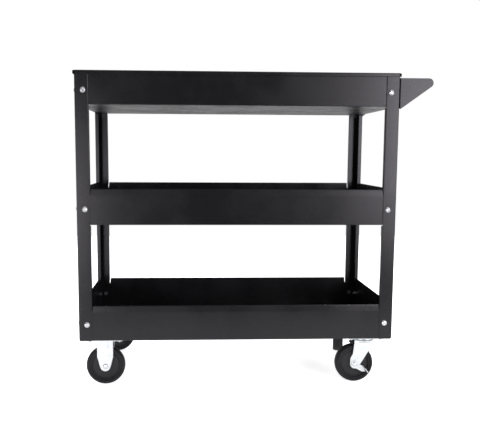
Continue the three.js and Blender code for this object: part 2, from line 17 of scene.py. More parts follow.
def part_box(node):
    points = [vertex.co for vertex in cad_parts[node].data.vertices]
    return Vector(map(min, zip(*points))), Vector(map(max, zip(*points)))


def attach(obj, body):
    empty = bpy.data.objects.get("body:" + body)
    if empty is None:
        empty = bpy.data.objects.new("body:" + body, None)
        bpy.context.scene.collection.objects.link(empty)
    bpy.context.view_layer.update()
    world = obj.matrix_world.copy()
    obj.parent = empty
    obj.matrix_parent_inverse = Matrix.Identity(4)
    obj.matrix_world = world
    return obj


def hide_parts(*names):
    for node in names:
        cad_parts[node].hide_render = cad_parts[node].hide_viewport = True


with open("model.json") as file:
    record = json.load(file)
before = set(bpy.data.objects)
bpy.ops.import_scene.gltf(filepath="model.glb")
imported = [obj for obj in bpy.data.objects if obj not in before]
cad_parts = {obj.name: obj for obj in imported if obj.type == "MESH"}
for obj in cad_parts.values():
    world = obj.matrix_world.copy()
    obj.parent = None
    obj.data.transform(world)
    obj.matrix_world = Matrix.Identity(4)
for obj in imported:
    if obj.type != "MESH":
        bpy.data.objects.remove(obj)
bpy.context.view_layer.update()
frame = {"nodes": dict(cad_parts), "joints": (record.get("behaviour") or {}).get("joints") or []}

MM = 0.001

# %% [markdown]
# ## Arithmetic on sockets
# A finish is a recipe of nodes. Adding a Math node by hand for every sum is slow to write and hard
# to read, so a small class wraps a socket and lets Python's own + and * build those nodes. Every
# other node comes from one method, which takes its type, its settings and what goes in.

# %% A socket that can be added and multiplied
class Shade:
    def __init__(self, recipe, socket):
        self.recipe = recipe
        self.socket = socket

    def maths(self, operation, first, second):
        return self.recipe.node("ShaderNodeMath", {"operation": operation}, {0: first, 1: second})

    def __add__(self, other):
        return self.maths("ADD", self, other)

    __radd__ = __add__

    def __mul__(self, other):
        return self.maths("MULTIPLY", self, other)

    __rmul__ = __mul__


# %% A recipe of nodes, and the one method that adds to it
class Recipe:
    def __init__(self, owner):
        owner.use_nodes = True
        self.tree = owner.node_tree
        self.tree.nodes.clear()

    def node(self, kind, settings=None, inputs=None, output=0):
        made = self.tree.nodes.new(kind)
        for name, value in (settings or {}).items():
            if name == "stops":
                for stop, (position, grey) in zip(made.color_ramp.elements, value):
                    stop.position = position
                    stop.color = (grey, grey, grey, 1)
            else:
                setattr(made, name, value)
        for name, value in (inputs or {}).items():
            if isinstance(value, Shade):
                self.tree.links.new(value.socket, made.inputs[name])
            else:
                made.inputs[name].default_value = value
        return Shade(self, made.outputs[output])

    def contrast(self, value, low, high):
        stops = [(low, 0.0), (high, 1.0)]
        return self.node("ShaderNodeValToRGB", {"stops": stops}, {"Fac": value})

    def end(self, kind, surface):
        out = self.tree.nodes.new(kind)
        self.tree.links.new(surface.socket, out.inputs["Surface"])


class Finish(Recipe):
    def __init__(self, name):
        self.material = bpy.data.materials.new(name)
        super().__init__(self.material)
        self.place = self.node("ShaderNodeTexCoord", output="Object")

    def stretched(self, scale):
        return self.node("ShaderNodeMapping", None, {"Vector": self.place, "Scale": scale})

    def noise(self, scale, detail, where=None):
        inputs = {"Vector": where or self.place, "Scale": scale, "Detail": detail}
        return self.node("ShaderNodeTexNoise", None, inputs)

    def blend(self, amount, first, second):
        inputs = {"Factor": amount, 6: (*first, 1), 7: (*second, 1)}
        return self.node("ShaderNodeMix", {"data_type": "RGBA"}, inputs, output=2)

    def bump(self, height, strength, depth):
        inputs = {"Height": height, "Strength": strength, "Distance": depth}
        return self.node("ShaderNodeBump", None, inputs)

    def finished(self, **inputs):
        named = {name.replace("_", " "): value for name, value in inputs.items()}
        surface = self.node("ShaderNodeBsdfPrincipled", None, named)
        self.end("ShaderNodeOutputMaterial", surface)
        return self.material


# %% [markdown]
# ## Black powder coat
# The trays, the posts and the handle are sprayed with dry powder and baked. The melted powder
# keeps a fine skin like orange peel, so the gloss is soft and a little uneven. A noise about a
# millimetre wide gives the skin, a finer one the grains, and a wide one the thicker and thinner
# patches where the gloss changes. A little pale dust lies in the patches.

# %% Powder coat
COAT_SPECULAR = 0.24
PEEL_SCALE = 850
GRAIN_SCALE = 2600
PATCH_SCALE = 7


def powder_coat():
    finish = Finish("powder_coat_finish")
    peel = finish.noise(PEEL_SCALE, 2)
    grain = finish.noise(GRAIN_SCALE, 3)
    patch = finish.noise(PATCH_SCALE, 5)
    dusty = finish.contrast(patch, 0.42, 0.72)
    speck = finish.contrast(grain, 0.45, 0.75)
    dust = speck * 0.35 + dusty * 0.25
    colour = finish.blend(dust, (0.0038, 0.0037, 0.0041), (0.0120, 0.0117, 0.0128))
    return finish.finished(
        Base_Color=colour,
        Roughness=0.25 + 0.06 * dusty + 0.04 * speck,
        Specular_IOR_Level=COAT_SPECULAR,
        Normal=finish.bump(peel + 0.35 * grain, 0.16, 0.05 * MM),
    )


POWDER = "black_powder_coat"
FINISHES = {POWDER: powder_coat()}

# %% [markdown]
# ## Zinc plate
# Bolts, forks and plates are pressed from steel and dipped in a bright zinc bath. The metal is
# nearly white and slightly cool, the rolling of the sheet leaves faint streaks, and the bath
# leaves cloudy patches. The streaks are a noise squeezed thin along one direction. The small
# bolts of the trays get a darker copy of the same zinc, a painted shade that dims them.

# %% Zinc plate
def zinc_plate(name, clean, cloudy):
    finish = Finish(name)
    cloud = finish.contrast(finish.noise(55, 4), 0.35, 0.70)
    streak = finish.contrast(finish.noise(60, 3, finish.stretched((9, 9, 0.8))), 0.30, 0.75)
    grain = finish.noise(1800, 2)
    colour = finish.blend(cloud * 0.55 + streak * 0.35, clean, cloudy)
    return finish.finished(
        Base_Color=colour,
        Metallic=1.0,
        Roughness=0.27 + 0.10 * cloud + 0.06 * streak,
        Normal=finish.bump(grain + 0.6 * streak, 0.10, 0.03 * MM),
    )


ZINC = "zinc_plate"
FINISHES[ZINC] = zinc_plate("bright_zinc_finish", (0.54, 0.56, 0.556), (0.38, 0.405, 0.41))
# A darker copy of the bright zinc for the tray bolts: painted shade, not a different plating.
PAINTED_SHADE_ZINC = zinc_plate("painted_shade_zinc_finish", (0.50, 0.51, 0.51), (0.20, 0.21, 0.215))

# %% [markdown]
# ## Rubber and hub plastic
# The tyres are solid black rubber, dull and lightly dusted where they roll. The wheel centres are
# black plastic from a mould: smoother, with a fine matt grain and a faint sheen.

# %% Rubber and plastic
MOULDED_SPECULAR = 0.15


def black_rubber():
    finish = Finish("tyre_rubber_finish")
    skin = finish.noise(1300, 4)
    dust = finish.contrast(finish.noise(38, 6), 0.45, 0.75)
    colour = finish.blend(dust * 0.5, (0.0065, 0.0065, 0.0068), (0.024, 0.023, 0.023))
    return finish.finished(
        Base_Color=colour,
        Specular_IOR_Level=MOULDED_SPECULAR,
        Roughness=0.58 + 0.16 * dust,
        Normal=finish.bump(skin, 0.30, 0.08 * MM),
    )


def hub_plastic():
    finish = Finish("moulded_plastic_finish")
    grain = finish.noise(2200, 3)
    cloud = finish.contrast(finish.noise(24, 3), 0.35, 0.70)
    colour = finish.blend(cloud * 0.6, (0.010, 0.010, 0.0105), (0.018, 0.018, 0.0185))
    return finish.finished(
        Base_Color=colour,
        Specular_IOR_Level=MOULDED_SPECULAR,
        Roughness=0.44 + 0.08 * cloud,
        Normal=finish.bump(grain, 0.22, 0.05 * MM),
    )


RUBBER = "black_rubber"
PLASTIC = "hub_plastic"
FINISHES[RUBBER] = black_rubber()
FINISHES[PLASTIC] = hub_plastic()
print("finishes", sorted(FINISHES))

# %% [markdown]
# ## From a working mesh to a finished piece
# Each piece is shaped in a bmesh, Blender's own editable mesh. A finished piece gets smooth
# shading everywhere except across real corners, a finish, the body that it rides on, and the
# names of the measured nodes that it stands for. A wide flat face next to a narrow rounded one
# would be shaded as if it were bent, so a Weighted Normal modifier lets the widest face decide.

# %% Finish a piece
CORNER_ANGLE = math.radians(38)
pieces = []


def piece(name, mesh, body, slot, *stands_for, finish=None):
    mesh.normal_update()
    for face in mesh.faces:
        face.smooth = True
    for edge in mesh.edges:
        edge.smooth = edge.calc_face_angle(math.pi) < CORNER_ANGLE
    data = bpy.data.meshes.new(name)
    mesh.to_mesh(data)
    mesh.free()
    data.materials.append(finish or FINISHES[slot])
    made = bpy.data.objects.new(name, data)
    bpy.context.scene.collection.objects.link(made)
    evened = made.modifiers.new("even_shading", "WEIGHTED_NORMAL")
    evened.keep_sharp = True
    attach(made, body)
    if stands_for:
        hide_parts(*stands_for)
    pieces.append(made)
    return made


# %% Small tools for shaping
NEAR = 0.01 * MM


def new_verts(result):
    return [v for v in result["geom"] if isinstance(v, bmesh.types.BMVert)]


def new_edges(result):
    return [e for e in result["geom"] if isinstance(e, bmesh.types.BMEdge)]


def weld(mesh):
    bmesh.ops.remove_doubles(mesh, verts=mesh.verts, dist=0.002 * MM)


def face_out(mesh, inside):
    """Turns the faces outwards: the widest one has to look away from a point inside."""
    weld(mesh)
    bmesh.ops.recalc_face_normals(mesh, faces=mesh.faces)
    widest = max(mesh.faces, key=lambda face: face.calc_area())
    if widest.normal.dot(widest.calc_center_median() - Vector(inside)) < 0:
        bmesh.ops.reverse_faces(mesh, faces=mesh.faces)


def thicken(mesh, sheet):
    bmesh.ops.solidify(mesh, geom=mesh.faces[:], thickness=sheet)


def round_edges(mesh, edges, radius, segments):
    bmesh.ops.bevel(
        mesh, geom=edges, offset=radius, offset_type="OFFSET", segments=segments, profile=0.5,
        affect="EDGES", clamp_overlap=True, material=-1,
    )


def moved(mesh, matrix):
    bmesh.ops.transform(mesh, matrix=matrix, verts=mesh.verts)
    return mesh


def together(*meshes):
    whole = bmesh.new()
    for part in meshes:
        held = bpy.data.meshes.new("held")
        part.to_mesh(held)
        part.free()
        whole.from_mesh(held)
        bpy.data.meshes.remove(held)
    return whole


def upright_edges(mesh):
    return [e for e in mesh.edges if abs(e.verts[0].co.z - e.verts[1].co.z) > 0.5 * e.calc_length()]


def corner_edges(mesh, angle=math.radians(50)):
    return [e for e in mesh.edges if e.is_manifold and e.calc_face_angle(0) > angle]


# %% [markdown]
# ## Trays
# A tray is one sheet folded up on four sides. On the two lower trays the edge of each wall is
# folded over outwards and pressed flat, which makes a safe double edge, a hem. It stops short of
# the posts, and there the corner of the wall is cut down to the foot of the hem. The shape is
# drawn as the outside of the sheet: a floor, walls extruded from its edges, and the hem made by
# spinning the rim over a tiny half circle. Its lower edge stands off the wall a little. Solidify
# then adds the sheet's thickness on the inner side, which on the turned-over hem is the outer one.

# %% Sizes of a tray
SHEET = 1.2 * MM
FOLD = 2.0 * MM
HEM_HEIGHT = 8.5 * MM
HEM_GAP = 0.12 * MM
HEM_SLANT = 2.0 * MM
HEM_STEPS = 6
HEM_FLARE = 0.5 * MM
POST_FACE = 34 * MM
POST_SIDE = 37 * MM

low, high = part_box("middle_tray")
WALL_LOW = Vector((low.x + SHEET, low.y + SHEET))
WALL_HIGH = Vector((high.x - SHEET, high.y - SHEET))
post_low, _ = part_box("post_left_front")
_, post_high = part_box("post_right_rear")
HEM_LOW = Vector((post_low.x + POST_FACE, post_low.y + POST_SIDE))
HEM_HIGH = Vector((post_high.x - POST_FACE, post_high.y - POST_SIDE))
MIDDLE = (WALL_LOW + WALL_HIGH) / 2
print("tray walls", WALL_LOW, WALL_HIGH, "hems", HEM_LOW, HEM_HIGH)


# %% The open box that every tray starts from
def open_box(level, rim):
    mesh = bmesh.new()
    corners = [
        mesh.verts.new((x, y, level))
        for x, y in (
            (WALL_LOW.x, WALL_LOW.y), (WALL_HIGH.x, WALL_LOW.y),
            (WALL_HIGH.x, WALL_HIGH.y), (WALL_LOW.x, WALL_HIGH.y),
        )
    ]
    bmesh.ops.contextual_create(mesh, geom=corners)
    walls = bmesh.ops.extrude_edge_only(mesh, edges=mesh.edges[:])
    bmesh.ops.translate(mesh, verts=new_verts(walls), vec=(0, 0, rim - level))
    round_edges(mesh, [e for e in mesh.edges if e.is_manifold], FOLD, 4)
    return mesh


def rim_edges(mesh, rim):
    return [e for e in mesh.edges if e.is_boundary and all(abs(v.co.z - rim) < NEAR for v in e.verts)]


# %% Corners cut down to the foot of the hems
FOLD_LOW = HEM_LOW + Vector((HEM_SLANT, HEM_SLANT))
FOLD_HIGH = HEM_HIGH - Vector((HEM_SLANT, HEM_SLANT))


def split(mesh, point, normal):
    whole = mesh.verts[:] + mesh.edges[:] + mesh.faces[:]
    bmesh.ops.bisect_plane(mesh, geom=whole, plane_co=point, plane_no=normal)


def cut_corners(mesh, shoulder):
    """The wall stays whole below the shoulder; above it, only where it is folded over."""
    split(mesh, (0, 0, shoulder), (0, 0, 1))
    for end in (FOLD_LOW, FOLD_HIGH):
        split(mesh, (end.x, 0, 0), (1, 0, 0))
        split(mesh, (0, end.y, 0), (0, 1, 0))
    spare = []
    for face in mesh.faces:
        place = face.calc_center_median()
        folded = any(FOLD_LOW[axis] < place[axis] < FOLD_HIGH[axis] for axis in (0, 1))
        if place.z > shoulder and not folded:
            spare.append(face)
    bmesh.ops.delete(mesh, geom=spare, context="FACES")
    for vert in mesh.verts:
        if abs(vert.co.z - shoulder) > NEAR:
            continue
        for axis in (0, 1):
            if abs(vert.co[axis] - FOLD_LOW[axis]) < NEAR:
                vert.co[axis] = HEM_LOW[axis]
            if abs(vert.co[axis] - FOLD_HIGH[axis]) < NEAR:
                vert.co[axis] = HEM_HIGH[axis]


# %% A hem along one wall
def fold_hem(mesh, wall, rim):
    """wall is the outward direction of the wall, such as (0, -1)."""
    across_x = wall[0] != 0
    along = 1 if across_x else 0
    low_end = FOLD_LOW[along]
    high_end = FOLD_HIGH[along]
    place = (WALL_HIGH if sum(wall) > 0 else WALL_LOW)[0 if across_x else 1]
    chosen = [
        e for e in rim_edges(mesh, rim)
        if all(abs(v.co[1 - along] - place) < NEAR for v in e.verts)
        and low_end < (e.verts[0].co[along] + e.verts[1].co[along]) / 2 < high_end
    ]
    outward = Vector((wall[0], wall[1], 0))
    ends = {v for e in chosen for v in e.verts}
    centre = outward * HEM_GAP + next(iter(ends)).co
    turned_over = bmesh.ops.spin(
        mesh, geom=chosen + list(ends), cent=centre, axis=outward.cross(Vector((0, 0, 1))),
        dvec=(0, 0, 0), angle=math.pi, steps=HEM_STEPS, use_merge=False,
    )["geom_last"]
    last = [e for e in turned_over if isinstance(e, bmesh.types.BMEdge)]
    lower = new_verts(bmesh.ops.extrude_edge_only(mesh, edges=last))
    drop = Vector((0, 0, -(HEM_HEIGHT - HEM_GAP - SHEET)))
    bmesh.ops.translate(mesh, verts=lower, vec=drop + outward * HEM_FLARE)
    for vert in lower:
        if abs(vert.co[along] - low_end) < NEAR:
            vert.co[along] -= HEM_SLANT
        if abs(vert.co[along] - high_end) < NEAR:
            vert.co[along] += HEM_SLANT


def hemmed_tray(name):
    box_low, box_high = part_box(name)
    rim = box_high.z - SHEET - HEM_GAP
    mesh = open_box(box_low.z, rim)
    cut_corners(mesh, box_high.z - HEM_HEIGHT)
    for wall in ((0, -1), (0, 1), (-1, 0), (1, 0)):
        fold_hem(mesh, wall, rim)
    face_out(mesh, (MIDDLE.x, MIDDLE.y, box_high.z))
    thicken(mesh, SHEET)
    return piece(name + "_sheet", mesh, "cart", POWDER, name)


for tray in ("bottom_tray", "middle_tray"):
    made = hemmed_tray(tray)
    print(made.name, len(made.data.polygons), "faces")


# %% [markdown]
# The top tray has no hem. Its rim goes out over the ends of the posts and turns down in front of
# them, and the corner of this lip is cut off at a slant. The rim is extruded twice, outwards and
# then down, and the two new folds are rounded.

# %% The top tray
LIP_CUT = 6.0 * MM
LIP_FOLD = 0.9 * MM
PAST_FOLD = 1.001


def on_lip(vert, lip_low, lip_high):
    """Where a point of the wall's rim goes on the lip: straight out, or along the cut corner."""
    past = FOLD * PAST_FOLD
    straight_x = WALL_LOW.x + past < vert.co.x < WALL_HIGH.x - past
    straight_y = WALL_LOW.y + past < vert.co.y < WALL_HIGH.y - past
    side_x = lip_high.x if vert.co.x > MIDDLE.x else lip_low.x
    side_y = lip_high.y if vert.co.y > MIDDLE.y else lip_low.y
    if straight_x:
        return (vert.co.x, side_y)
    if straight_y:
        return (side_x, vert.co.y)
    wall_x = WALL_HIGH.x - FOLD if vert.co.x > MIDDLE.x else WALL_LOW.x + FOLD
    wall_y = WALL_HIGH.y - FOLD if vert.co.y > MIDDLE.y else WALL_LOW.y + FOLD
    turn = math.atan2(abs(vert.co.y - wall_y), abs(vert.co.x - wall_x)) / (math.pi / 2)
    inward_x = math.copysign(LIP_CUT, MIDDLE.x - side_x)
    inward_y = math.copysign(LIP_CUT, MIDDLE.y - side_y)
    return (side_x + inward_x * turn, side_y + inward_y * (1 - turn))


def lipped_tray(name):
    box_low, box_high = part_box(name)
    rim = box_high.z - SHEET
    lip_low = Vector((box_low.x + SHEET, box_low.y + SHEET))
    lip_high = Vector((box_high.x - SHEET, box_high.y - SHEET))
    mesh = open_box(box_low.z, rim)
    wall_top = rim_edges(mesh, rim)
    ledge = bmesh.ops.extrude_edge_only(mesh, edges=wall_top)
    outer = new_verts(ledge)
    for vert in outer:
        vert.co.x, vert.co.y = on_lip(vert, lip_low, lip_high)
    outer_edges = [e for e in new_edges(ledge) if e.is_boundary]
    skirt = bmesh.ops.extrude_edge_only(mesh, edges=outer_edges)
    bmesh.ops.translate(mesh, verts=new_verts(skirt), vec=(0, 0, -(HEM_HEIGHT - SHEET)))
    folds = [
        e for e in mesh.edges
        if e.is_manifold and all(abs(v.co.z - rim) < NEAR for v in e.verts)
        and e.calc_face_angle(0) > math.radians(45)
    ]
    round_edges(mesh, folds, LIP_FOLD, 3)
    face_out(mesh, (MIDDLE.x, MIDDLE.y, box_high.z))
    thicken(mesh, SHEET)
    return piece(name + "_sheet", mesh, "cart", POWDER, name)


made = lipped_tray("top_tray")
print(made.name, len(made.data.polygons), "faces")

# %% [markdown]
# ## Posts
# A post is an angle with a small lip on each edge, rolled from one strip. The lips are cut away
# wherever a tray is bolted on, and the foot has its outer corner cut off so that nobody is
# scratched. The outside of the strip is drawn as a line of five points and extruded upwards in
# steps, so that the faces of the lips can simply be deleted where there are none. The start of
# the bend stays on, which leaves a soft rolled edge beside the tray.

# %% A post
POST_SHEET = 1.5 * MM
POST_BEND = 2.6 * MM
POST_LIP = 10 * MM
POST_ROLL = 0.5 * MM
LIP_CLEAR = 2 * MM
FOOT_CUT = Vector((2.6 * MM, 15 * MM, 5 * MM))


def post_mesh(corner, inward, bottom, top, lip_zones):
    """corner is the outer edge; inward has the signs of the two flange directions."""
    at = lambda x, y, z: (corner.x + inward[0] * x, corner.y + inward[1] * y, z)
    mesh = bmesh.new()
    line = ((POST_LIP, POST_SIDE), (0, POST_SIDE), (0, 0), (POST_FACE, 0), (POST_FACE, POST_LIP))
    row = [mesh.verts.new(at(x, y, bottom)) for x, y in line]
    edges = [mesh.edges.new(pair) for pair in zip(row, row[1:])]
    reached = bottom
    for level in [z for zone in lip_zones for z in zone] + [top]:
        step = bmesh.ops.extrude_edge_only(mesh, edges=edges)
        bmesh.ops.translate(mesh, verts=new_verts(step), vec=(0, 0, level - reached))
        edges = [e for e in new_edges(step) if all(v in new_verts(step) for v in e.verts)]
        reached = level
    round_edges(mesh, [e for e in upright_edges(mesh) if e.is_manifold], POST_BEND, 5)
    spare = []
    for face in mesh.faces:
        centre = face.calc_center_median()
        x = (centre.x - corner.x) * inward[0]
        y = (centre.y - corner.y) * inward[1]
        front_lip = x > POST_FACE - POST_BEND and y > POST_ROLL
        side_lip = y > POST_SIDE - POST_BEND and x > POST_ROLL
        if (front_lip or side_lip) and not any(start < centre.z < end for start, end in lip_zones):
            spare.append(face)
    bmesh.ops.delete(mesh, geom=spare, context="FACES")
    inside = at(POST_FACE / 2, POST_SIDE / 2, (bottom + top) / 2)
    face_out(mesh, inside)
    normal = Vector((inward[0] / FOOT_CUT.x, inward[1] / FOOT_CUT.y, 1 / FOOT_CUT.z))
    bmesh.ops.bisect_plane(
        mesh, geom=mesh.verts[:] + mesh.edges[:] + mesh.faces[:],
        plane_co=at(0, 0, bottom + FOOT_CUT.z), plane_no=normal, clear_inner=True,
    )
    thicken(mesh, POST_SHEET)
    return mesh


TRAY_BOXES = [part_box(name) for name in ("bottom_tray", "middle_tray", "top_tray")]
LIP_ZONES = [
    (below[1].z + LIP_CLEAR, above[0].z - LIP_CLEAR) for below, above in zip(TRAY_BOXES, TRAY_BOXES[1:])
]
for end, sign_x in (("left", 1), ("right", -1)):
    for face, sign_y in (("front", 1), ("rear", -1)):
        node = f"post_{end}_{face}"
        low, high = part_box(node)
        corner = Vector((low.x if sign_x > 0 else high.x, low.y if sign_y > 0 else high.y))
        mesh = post_mesh(corner, (sign_x, sign_y), low.z, high.z, LIP_ZONES)
        made = piece(node + "_strip", mesh, "cart", POWDER, node)
        print(made.name, len(made.data.polygons), "faces")

# %% [markdown]
# ## Round pieces
# Bolts, wheels, pins and tubes are turned: a line of points, each a radius and a height, is spun
# once about an axis. The line is drawn flat, the spin closes it, and the points on the axis are
# welded to one. A matrix then lays the turned shape where it belongs.

# %% Turn a line of points about an axis
def turned(profile, steps, closed=False):
    mesh = bmesh.new()
    points = [mesh.verts.new((radius * MM, 0, height * MM)) for radius, height in profile]
    pairs = list(zip(points, points[1:]))
    if closed:
        pairs.append((points[-1], points[0]))
    for pair in pairs:
        mesh.edges.new(pair)
    bmesh.ops.spin(
        mesh, geom=mesh.verts[:] + mesh.edges[:], cent=(0, 0, 0), axis=(0, 0, 1), dvec=(0, 0, 0),
        angle=2 * math.pi, steps=steps, use_merge=True,
    )
    weld(mesh)
    bmesh.ops.recalc_face_normals(mesh, faces=mesh.faces)
    return mesh


def laid(point, direction):
    """A matrix that stands the turned shape on a point, with its top towards a direction."""
    return Matrix.Translation(point) @ Vector(direction).to_track_quat("Z", "Y").to_matrix().to_4x4()


# %% [markdown]
# ## Bolts
# The trays hang on domed bolts with a small round recess on top. Behind the sheet sits a hexagon
# nut with the end of the thread standing out of it. The dome with its recess and the thread are
# turned, the thread as plain rings, and the nut is turned in six steps and its edges are broken.

# %% Bolt, nut and thread
HEAD = [(7.2, 0), (7.2, 0.7), (6.9, 1.35), (6.2, 2.1), (5.3, 2.75), (4.2, 3.2), (3.4, 3.35)]
RECESS = [(2.9, 3.38), (2.6, 3.2), (2.5, 1.5), (0, 1.3)]
THREAD_RADIUS = 3.0
THREAD_ROOT = 2.6
PITCH = 1.0
CREST = (0.45, 0.55)
NUT_ACROSS = 10.0
NUT_HEIGHT = 5.0
NUT_TURN = 0.2
HEX_BREAK = 0.35 * MM
BOLT_TIP = 2.5
SEAT_GAP = 0.05


def nut(from_height, height=NUT_HEIGHT, across=NUT_ACROSS):
    corner = across / math.sqrt(3)
    top = from_height + height
    mesh = turned([(0, from_height), (corner, from_height), (corner, top), (0, top)], 6)
    round_edges(mesh, corner_edges(mesh, math.radians(30)), HEX_BREAK, 2)
    return mesh


def thread(from_height, to_height, radius=THREAD_RADIUS):
    root = radius - (THREAD_RADIUS - THREAD_ROOT)
    line = [(0, from_height), (root, from_height)]
    height = from_height
    while height + PITCH <= to_height:
        line += [(radius, height + PITCH * part) for part in CREST]
        line.append((root, height + PITCH))
        height += PITCH
    line.append((0, line[-1][1]))
    return turned(line, 24)


def bolt_mesh(grip, length):
    """Head above zero, grip of sheet below it, then the nut; length is from zero to the tip."""
    head = turned([(0, 0)] + HEAD + RECESS, 36)
    tightened = moved(nut(-grip - NUT_HEIGHT), Matrix.Rotation(NUT_TURN, 4, "Z"))
    return together(head, tightened, thread(-length, 0))


TOWARDS = {"left": (-1, 0, 0), "right": (1, 0, 0), "front": (0, -1, 0), "rear": (0, 1, 0)}


def tray_bolt(node):
    _, _, end, face, side = node.split("_")
    direction = Vector(TOWARDS[end if side == "end" else face])
    low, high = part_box(node)
    middle = (low + high) / 2
    extent = abs((high - low).dot(direction)) / MM
    above_seat = HEAD[-1][1] + SEAT_GAP
    tip_to_seat = extent - above_seat
    seat = middle + direction * ((extent / 2 - above_seat) * MM)
    grip = tip_to_seat - NUT_HEIGHT - BOLT_TIP
    mesh = moved(bolt_mesh(grip, tip_to_seat), laid(seat, direction))
    # The tray bolts take the darker copy of the zinc, which paints shade on them.
    return piece(node + "_set", mesh, "cart", ZINC, node, finish=PAINTED_SHADE_ZINC)


bolts = [tray_bolt(node) for node in sorted(frame["nodes"]) if node.startswith("bolt_")]
print(len(bolts), "bolts of", len(bolts[0].data.polygons), "faces")

# %% [markdown]
# ## Push handle
# Two triangular brackets are folded from sheet: the side stands out from the cart, and the flange
# lies on the post. The side is drawn as a triangle whose far corner is rounded to the tube's
# radius, the flange is extruded from its root and the fold between them is rounded. The tube
# between the brackets has a bead of weld at both ends.

# %% A bracket
BRACKET_SHEET = 2.0 * MM
BRACKET_BEND = 3.0 * MM
BRACKET_TIP = 11.5 * MM
FOOT_STEP = Vector((3 * MM, 2 * MM))
WITHIN = 30 * MM


def rounded(outline, number, radius, segments):
    """The outline with one corner replaced by an arc that touches both of its lines."""
    following = (number + 1) % len(outline)
    before, corner, after = (Vector(outline[at]) for at in (number - 1, number, following))
    first = (before - corner).normalized()
    second = (after - corner).normalized()
    half = first.angle(second) / 2
    centre = corner + (first + second).normalized() * radius / math.sin(half)
    start = corner + first * radius / math.tan(half) - centre
    end = corner + second * radius / math.tan(half) - centre
    turn = math.copysign(math.pi - 2 * half, start.cross(end))
    arc = [centre + Matrix.Rotation(turn * step / segments, 2) @ start for step in range(segments + 1)]
    return [*outline[:number], *arc, *outline[number + 1:]]


def bracket_mesh(node, sign_y):
    low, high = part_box(node)
    face_y = low.y if sign_y > 0 else high.y
    root = low.x
    foot = Vector((root + FOOT_STEP.x, low.z))
    tip = Vector((high.x - BRACKET_TIP, high.z - BRACKET_TIP))
    reach = tip - foot
    slope = math.atan2(reach.y, reach.x) - math.asin(BRACKET_TIP / reach.length)
    far = foot.x + (high.z - foot.y) / math.tan(slope)
    mesh = bmesh.new()
    outline = [(root, foot.y + FOOT_STEP.y), (foot.x, foot.y), (far, high.z), (root, high.z)]
    points = [mesh.verts.new((x, face_y, z)) for x, z in rounded(outline, 2, BRACKET_TIP, 14)]
    bmesh.ops.contextual_create(mesh, geom=points)
    root_edge = [e for e in mesh.edges if all(abs(v.co.x - root) < NEAR for v in e.verts)]
    flange = bmesh.ops.extrude_edge_only(mesh, edges=root_edge)
    bmesh.ops.translate(mesh, verts=new_verts(flange), vec=(0, sign_y * (high.y - low.y), 0))
    fold = [e for e in mesh.edges if e.is_manifold]
    round_edges(mesh, fold, BRACKET_BEND, 6)
    face_out(mesh, (root + WITHIN, face_y + sign_y * WITHIN, tip.y))
    thicken(mesh, BRACKET_SHEET)
    return mesh


for face, sign_y in (("front", 1), ("rear", -1)):
    node = f"handle_bracket_{face}"
    made = piece(node + "_sheet", bracket_mesh(node, sign_y), "cart", POWDER, node)
    print(made.name, len(made.data.polygons), "faces")

# %% The tube
low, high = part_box("handle_tube")
TUBE_HALF = (high.y - low.y) / 2 / MM
TUBE_RADIUS = (high.x - low.x) / 2 / MM
WELD = 1.6
WELD_BEAD = [(0.4, 0), (0.5, 0.5), (0.25, 1), (0, 1.4)]
tube_line = [
    (TUBE_RADIUS + out * WELD, -TUBE_HALF + along * WELD) for out, along in WELD_BEAD
]
tube_line.insert(0, (0, -TUBE_HALF))
tube_line += [(radius, -height) for radius, height in reversed(tube_line)]
tube = moved(turned(tube_line, 48), laid((low + high) / 2, (0, 1, 0)))
made = piece("handle_tube_bar", tube, "cart", POWDER, "handle_tube")
print(made.name, "radius", TUBE_RADIUS)

# %% [markdown]
# ## Wheels
# A wheel is a plastic centre in a solid tyre. The tyre has a gently crowned tread with round
# shoulders. The centre has a raised rim, a deep groove inside it, a disc that swells towards the
# middle, and a boss that nearly touches the fork. Both are turned from half a section and its
# mirror image. The axle is a pin with both ends hammered to a low dome. The two swivel casters
# are alike, so the axle of the one that points ahead gives the length of both.

# %% Tyre, centre and axle
TYRE_HALF = [
    (40.75, 12.4), (41.4, 14.3), (42.4, 15.0), (44.6, 15.0), (46.2, 14.5), (47.6, 13.3), (48.6, 11.4),
    (49.3, 8.8), (49.75, 5.8), (49.95, 2.9), (50.0, 0.7),
]
HUB_HALF = [
    (4.2, 16.7), (11.2, 16.7), (12.0, 16.2), (12.5, 14.6), (13.4, 13.2), (16.0, 12.5), (24.0, 11.9),
    (30.5, 11.1), (33.0, 10.2), (34.2, 9.0), (36.0, 8.8), (37.0, 9.6), (37.5, 12.4), (38.1, 13.0),
    (39.8, 13.0), (40.7, 12.4),
]
RIVET = [(0, 2.6), (2.6, 2.5), (4.6, 1.9), (5.9, 0.9), (6.3, 0)]


def mirrored(half):
    return half + [(radius, -height) for radius, height in reversed(half)]


JOINTS = {joint["name"]: joint for joint in frame["joints"]}
AXLE_RADIUS = 4


def wheel_line(caster):
    """The middle of a wheel, the line it turns about and the body that it is."""
    spin = JOINTS[f"wheel_{caster}_spin"]
    return Vector(spin["pos_m"]), Vector(spin["axis"]).normalized(), spin["child"]


def axle_reach(caster):
    """How far both ends of an axle are from the wheel's middle, for a wheel that points ahead."""
    middle, along, _ = wheel_line(caster)
    reach = [(corner - middle).dot(along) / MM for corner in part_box(f"axle_{caster}")]
    return max(reach), min(reach)


def axle_mesh(top, bottom):
    height = RIVET[0][1]
    line = [(radius, top - height + rise) for radius, rise in RIVET]
    line += [(AXLE_RADIUS, top - height), (AXLE_RADIUS, bottom + height)]
    line += [(radius, bottom + height - rise) for radius, rise in reversed(RIVET)]
    return turned(line, 28)


